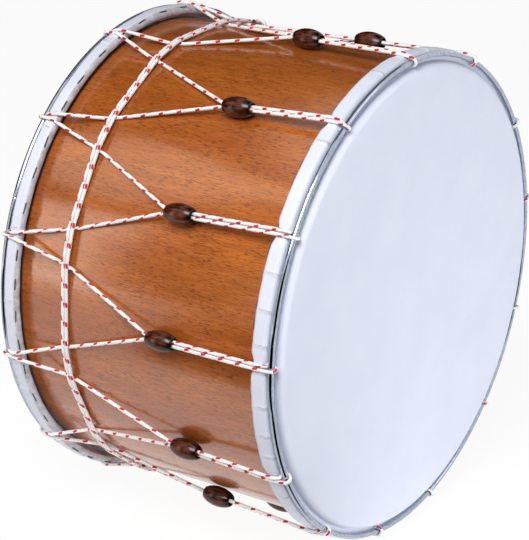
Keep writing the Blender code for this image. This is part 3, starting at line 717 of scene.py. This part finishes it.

# French-polished rosewood. The eye sees reddish brown with dark growth lines 1 to 2 mm apart
# along the bead, nearly black ends and soft highlights. The black ends are painted shade.
rosewood, tree, shader, place = new_material("polished rosewood")
line = add(tree, "ShaderNodeMapping", {0: place, "Scale": (420.0, 50.0, 420.0)}).outputs[0]
line = add(tree, "ShaderNodeTexNoise", {"Vector": line, "Scale": 1.0, "Detail": 2.0, "Distortion": 0.5})
line = add(tree, "ShaderNodeMapRange", {0: line.outputs[0], 1: 0.38, 2: 0.62}).outputs[0]
tone = add(tree, "ShaderNodeMix", {0: line, 6: linear("#2A0F08"), 7: linear("#5C2A16")}, data_type="RGBA")
end_shade = add(tree, "ShaderNodeAttribute", attribute_name="end_grain").outputs["Fac"]
tone = add(tree, "ShaderNodeMix", {0: end_shade, 6: tone.outputs[2], 7: linear("#140604")}, data_type="RGBA")
tree.links.new(tone.outputs[2], shader.inputs["Base Color"])
shader.inputs["Roughness"].default_value = 0.45
shader.inputs["Specular IOR Level"].default_value = 0.0
shader.inputs["Coat Weight"].default_value = 1.0
shader.inputs["Coat Roughness"].default_value = 0.18
shader.inputs["Coat IOR"].default_value = 1.4

half = BEAD_LENGTH / 2
swell = half / math.sqrt(1 - (BEAD_END / BEAD_RADIUS) ** 2)
bead_outline = [(BEAD_BORE, BORE_EASE - half), (BEAD_BORE + BORE_EASE, -half)]
for step in range(BEAD_ROWS + 1):
    height = (half - 0.0003) * (2 * step / BEAD_ROWS - 1)
    bead_outline.append((BEAD_RADIUS * math.sqrt(1 - (height / swell) ** 2), height))
bead_outline += [(BEAD_BORE + BORE_EASE, half), (BEAD_BORE, half - BORE_EASE)]
for number, (angle, lean, depth) in enumerate(zip(LOOPS, BEAD_LEANS, BEAD_DEPTHS), 1):
    seat = on_drum(depth, BEAD_SEAT, angle + lean)
    to_ring = (on_drum(STEM_DEPTH, STEM_RADIUS, angle) - seat).normalized()
    tangent = on_drum(0.0, 0.0, angle + lean, 1.0) - on_drum(0.0, 0.0, angle + lean)
    outward = to_ring.cross(tangent).normalized()
    around = outward.cross(to_ring)
    bm = bmesh.new()
    rows = []
    for radius, height in bead_outline:
        row = []
        for step in range(BEAD_SIDES):
            turn = math.tau * step / BEAD_SIDES
            rim = (outward * math.cos(turn) + around * math.sin(turn)) * radius
            row.append(bm.verts.new(seat + to_ring * height + rim))
        rows.append(row)
    for first, second in zip(rows, rows[1:] + rows[:1]):
        for step in range(BEAD_SIDES):
            after = (step + 1) % BEAD_SIDES
            bm.faces.new((first[step], first[after], second[after], second[step]))
    bead = finished(f"rosewood_bead_{number:02d}", bm)
    end_shade = bead.data.attributes.new("end_grain", "FLOAT", "POINT")
    for vertex, value in zip(bead.data.vertices, end_shade.data):
        # Painted shade: each bead darkens from near its middle to nearly black at both ends.
        share = abs((vertex.co - seat).dot(to_ring)) / half
        value.value = max(0.0, min(1.0, (share - 0.45) / 0.45)) ** 1.5
    bead.data.materials.append(rosewood)
    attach(bead, f"bead_{number:02d}")
    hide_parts(f"tension_bead_{number:02d}")

# Black staples hold each hide's folded edge to its hoop. They are thin round wire with an 11 mm crown,
# shot in aslant through the lap's rounded lower edge, so only the crowns show.
CROWN = 0.0114
STAPLE_LEG = 0.0012
WIRE = 0.00055
STAPLE_SLANT = {"near": 76.0, "far": 44.0}
STAPLE_STEP = 8.0
STAPLES = {"far": [8.3, 0.3, -7.9, -16.0, -23.7, -32.8, -40.5, -50.0, -57.7, -66.0, -76.7, -83.6, -91.4, -98.5,
                   -105.4, -114.1, -122.0, -130.0, -138.2, -145.1]}
STAPLES["far"] += [-153.0 - STAPLE_STEP * number for number in range(24)]
STAPLES["near"] = [STAPLE_STEP * number + 2.0 * math.sin(3.1 * number) for number in range(45)]
STAPLES["near"] = [angle for angle in STAPLES["near"]
                   if min(abs(math.remainder(angle - loop, 360.0)) for loop in LOOPS) > 4.0]

# Enamelled staple wire: black with a soft gloss, worn to grey metal on the crown's edges.
enamel, tree, shader, place = new_material("black enamelled wire")
wear = add(tree, "ShaderNodeTexNoise", {"Vector": place, "Scale": 700.0, "Detail": 2.0}).outputs[0]
wear = add(tree, "ShaderNodeMapRange", {0: wear, 1: 0.58, 2: 0.72, 3: 0.0, 4: 0.5}).outputs[0]
tone = add(tree, "ShaderNodeMix", {0: wear, 6: linear("#15161A"), 7: linear("#6D7078")}, data_type="RGBA")
tree.links.new(tone.outputs[2], shader.inputs["Base Color"])
shader.inputs["Roughness"].default_value = 0.4

# The tree that shoots the staples: one crown on each mark, turned to lie along the hoop, with a
# little hand-made scatter from a fixed seed.
staple_tree = bpy.data.node_groups.new("Staples round a hoop", "GeometryNodeTree")
face = staple_tree.interface
face.new_socket("Marks", in_out="INPUT", socket_type="NodeSocketGeometry")
face.new_socket("Crown", in_out="INPUT", socket_type="NodeSocketFloat")
face.new_socket("Leg", in_out="INPUT", socket_type="NodeSocketFloat")
face.new_socket("Wire", in_out="INPUT", socket_type="NodeSocketFloat")
face.new_socket("Scatter", in_out="INPUT", socket_type="NodeSocketFloat")
face.new_socket("Seed", in_out="INPUT", socket_type="NodeSocketInt")
face.new_socket("Finish", in_out="INPUT", socket_type="NodeSocketMaterial")
face.new_socket("Staples", in_out="OUTPUT", socket_type="NodeSocketGeometry")
given = add(staple_tree, "NodeGroupInput").outputs
half_crown = add(staple_tree, "ShaderNodeMath", {0: given["Crown"], 1: 0.5}, operation="MULTIPLY").outputs[0]
other_half = add(staple_tree, "ShaderNodeMath", {0: given["Crown"], 1: -0.5}, operation="MULTIPLY").outputs[0]
sunk = add(staple_tree, "ShaderNodeMath", {0: given["Leg"], 1: -1.0}, operation="MULTIPLY").outputs[0]
left_top = add(staple_tree, "ShaderNodeCombineXYZ", {0: other_half}).outputs[0]
right_top = add(staple_tree, "ShaderNodeCombineXYZ", {0: half_crown}).outputs[0]
crown_line = add(staple_tree, "GeometryNodeCurvePrimitiveLine", {"Start": left_top, "End": right_top}).outputs[0]
crown_line = add(staple_tree, "GeometryNodeResampleCurve", {"Curve": crown_line, "Count": 6}).outputs[0]
spot = add(staple_tree, "GeometryNodeInputPosition").outputs[0]
way_along = add(staple_tree, "ShaderNodeSeparateXYZ", {0: spot}).outputs[0]
from_middle = add(staple_tree, "ShaderNodeMath", {0: way_along, 1: half_crown}, operation="DIVIDE").outputs[0]
bowed = add(staple_tree, "ShaderNodeMath", {0: from_middle, 1: 8.0}, operation="POWER").outputs[0]
dip = add(staple_tree, "ShaderNodeMath", {0: bowed, 1: sunk}, operation="MULTIPLY").outputs[0]
dip = add(staple_tree, "ShaderNodeCombineXYZ", {2: dip}).outputs[0]
crown_line = add(staple_tree, "GeometryNodeSetPosition", {"Geometry": crown_line, "Offset": dip}).outputs[0]
section = add(staple_tree, "GeometryNodeCurvePrimitiveCircle", {"Resolution": 8, "Radius": given["Wire"]}).outputs[0]
staple = add(staple_tree, "GeometryNodeCurveToMesh", {"Curve": crown_line, "Profile Curve": section, "Scale": 1.0,
                                                      "Fill Caps": True}).outputs[0]
radial = add(staple_tree, "GeometryNodeInputNamedAttribute", {"Name": "outward"}, data_type="FLOAT_VECTOR").outputs[0]
lift = add(staple_tree, "GeometryNodeInputNamedAttribute", {"Name": "away"}, data_type="FLOAT_VECTOR").outputs[0]
aim = add(staple_tree, "FunctionNodeAxesToRotation", {0: lift, 1: radial}, primary_axis="Z", secondary_axis="Y")
less = add(staple_tree, "ShaderNodeMath", {0: given["Scatter"], 1: -1.0}, operation="MULTIPLY").outputs[0]
skew = add(staple_tree, "FunctionNodeRandomValue", {2: less, 3: given["Scatter"], "Seed": given["Seed"]}).outputs[1]
skew = add(staple_tree, "ShaderNodeCombineXYZ", {2: skew}).outputs[0]
skew = add(staple_tree, "FunctionNodeEulerToRotation", {0: skew}).outputs[0]
aim = add(staple_tree, "FunctionNodeRotateRotation", {0: aim.outputs[0], 1: skew}, rotation_space="LOCAL").outputs[0]
marks = add(staple_tree, "GeometryNodeMeshToPoints", {"Mesh": given["Marks"]}).outputs[0]
shot = add(staple_tree, "GeometryNodeInstanceOnPoints", {"Points": marks, "Instance": staple, "Rotation": aim})
real = add(staple_tree, "GeometryNodeRealizeInstances", {"Geometry": shot.outputs[0]}).outputs[0]
coated = add(staple_tree, "GeometryNodeSetMaterial", {"Geometry": real, "Material": given["Finish"]}).outputs[0]
add(staple_tree, "NodeGroupOutput", {0: coated})

for side, facing in (("near", -1), ("far", 1)):
    slant = math.radians(STAPLE_SLANT[side])
    low = LAPS[side]["bottom_round"]
    staple_radius = LAP_RADIUS - low + (low + 0.6 * WIRE) * math.cos(slant)
    staple_depth = LAPS[side]["bottom"] - low + (low + 0.6 * WIRE) * math.sin(slant)
    spots = [Vector((math.sin(math.radians(angle)), 0.0, math.cos(math.radians(angle)))) for angle in STAPLES[side]]
    mesh = bpy.data.meshes.new(side + "_staple_marks")
    marks = []
    for angle, spot in zip(STAPLES[side], spots):
        hem = HEM_WAVE * math.cos(math.radians(2 * angle + 100)) * 0.9
        marks.append(Vector((0.0, facing * (RING_PLANE - staple_depth + hem), AXIS_HEIGHT)) + spot * staple_radius)
    mesh.from_pydata(marks, [], [])
    outward = mesh.attributes.new("outward", "FLOAT_VECTOR", "POINT")
    away = mesh.attributes.new("away", "FLOAT_VECTOR", "POINT")
    inward = Vector((0.0, -facing, 0.0))
    for index, spot in enumerate(spots):
        outward.data[index].vector = spot
        away.data[index].vector = spot * math.cos(slant) + inward * math.sin(slant)
    source = bpy.data.objects.new(side + "_staple_marks", mesh)
    bpy.context.scene.collection.objects.link(source)
    staples = grown(side + "_staples", source, staple_tree, crown=CROWN, leg=STAPLE_LEG, wire=WIRE, scatter=0.07,
                    seed=4 if side == "near" else 9, finish=enamel)
    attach(staples, "drum")

# Camera, as worked out from the picture's perspective: about 2 m away, left of the near head and
# above it, with a long lens. Its height counts from the drum's axis.
lens = bpy.data.cameras.new("camera")
lens.sensor_width = 36.0
lens.lens = 142.475
camera = bpy.data.objects.new("camera", lens)
camera.location = (-1.44874, -0.97413, AXIS_HEIGHT + 0.68942)
camera.rotation_euler = (math.radians(90 - 21.692), 0.0, math.radians(-55.739))
bpy.context.scene.collection.objects.link(camera)
bpy.context.scene.camera = camera


def background_share(tree, most):
    """How much of the plain white background shows: to the camera, in mirrors and through glass."""
    ray = add(tree, "ShaderNodeLightPath").outputs
    seen = add(tree, "ShaderNodeMath", {0: ray["Is Camera Ray"], 1: ray["Is Glossy Ray"]}, operation="MAXIMUM").outputs[0]
    seen = add(tree, "ShaderNodeMath", {0: seen, 1: ray["Is Transmission Ray"]}, operation="MAXIMUM").outputs[0]
    return add(tree, "ShaderNodeMath", {0: seen, 1: most}, operation="MULTIPLY").outputs[0]


# A plain white floor that takes the drum's shadow. To the camera and in mirrors it is nearly all
# background white, so that only a soft shadow is left.
bm = bmesh.new()
bmesh.ops.create_grid(bm, x_segments=1, y_segments=1, size=6.0)
floor = finished("white_floor", bm)
paper, tree, shader, place = new_material("white studio paper")
shader.inputs["Base Color"].default_value = linear("#F4F4F4")
shader.inputs["Roughness"].default_value = 0.9
shader.inputs["Specular IOR Level"].default_value = 0.0
shader.inputs["Emission Color"].default_value = (1.0, 1.0, 1.0, 1.0)
shader.inputs["Emission Strength"].default_value = 0.25
glow = add(tree, "ShaderNodeEmission", {"Color": (1.0, 1.0, 1.0, 1.0), "Strength": 1.0}).outputs[0]
both = add(tree, "ShaderNodeMixShader", {0: background_share(tree, 0.92), 1: shader.outputs[0], 2: glow}).outputs[0]
tree.links.new(both, tree.nodes["Material Output"].inputs["Surface"])
floor.data.materials.append(paper)

world = bpy.data.worlds.new("studio")
world.use_nodes = True
tree = world.node_tree
backdrop = tree.nodes["Background"]
backdrop.inputs["Color"].default_value = (1.0, 1.0, 1.0, 1.0)
backdrop.inputs["Strength"].default_value = 1.0
room = add(tree, "ShaderNodeBackground", {"Color": (0.86, 0.90, 1.0, 1.0), "Strength": 0.07}).outputs[0]
both = add(tree, "ShaderNodeMixShader", {0: background_share(tree, 1.0), 1: room, 2: backdrop.outputs[0]}).outputs[0]
tree.links.new(both, tree.nodes["World Output"].inputs["Surface"])
bpy.context.scene.world = world


def softbox(name, place, target, size, power, colour="#FFFFFF"):
    """Large soft lamp that looks at a point."""
    lamp = bpy.data.lights.new(name, "AREA")
    lamp.shape = "RECTANGLE"
    lamp.size, lamp.size_y = size
    lamp.energy = power
    lamp.color = linear(colour)[:3]
    holder = bpy.data.objects.new(name, lamp)
    holder.location = place
    holder.rotation_euler = (Vector(place) - Vector(target)).to_track_quat("Z", "Y").to_euler()
    bpy.context.scene.collection.objects.link(holder)
    holder.visible_camera = False
    return holder


def flag(name, corners):
    """Cloth on a frame, out of the picture, which keeps a gloss surface from mirroring white."""
    bm = bmesh.new()
    bm.faces.new([bm.verts.new(corner) for corner in corners])
    cloth = finished(name, bm)
    cloth.data.materials.append(felt)
    cloth.visible_camera = False
    cloth.visible_shadow = False


felt, tree, shader, place = new_material("black flag cloth")
shader.inputs["Base Color"].default_value = linear("#050508")
shader.inputs["Roughness"].default_value = 1.0
shader.inputs["Specular IOR Level"].default_value = 0.0

softbox("key_softbox", (-1.30, -0.40, 1.64), (0.0, 0.0, 0.22), (1.0, 1.0), 36.0)
softbox("streak_softbox", (-1.05, 1.24, 1.60), (-0.15, 0.10, 0.34), (0.7, 0.9), 3.2, "#FFE8D2")
softbox("left_softbox", (-1.20, 1.04, 0.46), (0.0, 1.04, 0.46), (0.46, 0.86), 3.4, "#FFEEDE")
softbox("right_softbox", (0.95, -1.60, 1.05), (0.0, -0.14, 0.40), (0.5, 0.5), 1.6)
fill = softbox("front_fill", (-0.05, -1.05, 0.07), (0.0, -0.14, 0.10), (1.4, 0.24), 6.0, "#FBFCFF")
fill.visible_glossy = False
flag("back_flag", [(-4.2, 1.9, 0.02), (4.2, 1.9, 0.02), (4.2, 1.9, 3.8), (-4.2, 1.9, 3.8)])
flag("top_flag", [(-0.4, -0.7, 2.9), (2.6, -0.7, 2.9), (2.6, 0.8, 2.9), (-0.4, 0.8, 2.9)])
flag("floor_flag", [(-0.45, -0.42, 0.004), (-0.12, -0.42, 0.004), (-0.12, -0.17, 0.004), (-0.45, -0.17, 0.004), (-0.45, 0.22, 0.004), (-0.65, 0.33, 0.004), (-1.02, 0.53, 0.004),
                    (-2.66, 1.48, 0.004), (-3.4, 1.88, 0.004), (-3.4, -1.0, 0.004), (-0.45, -1.0, 0.004)])
flag("left_flag", [(-1.40, -0.06, 0.02), (-0.50, -1.44, 0.02), (-0.50, -1.44, 0.72), (-1.40, -0.06, 0.72)])

bpy.context.scene.view_settings.view_transform = "Standard"
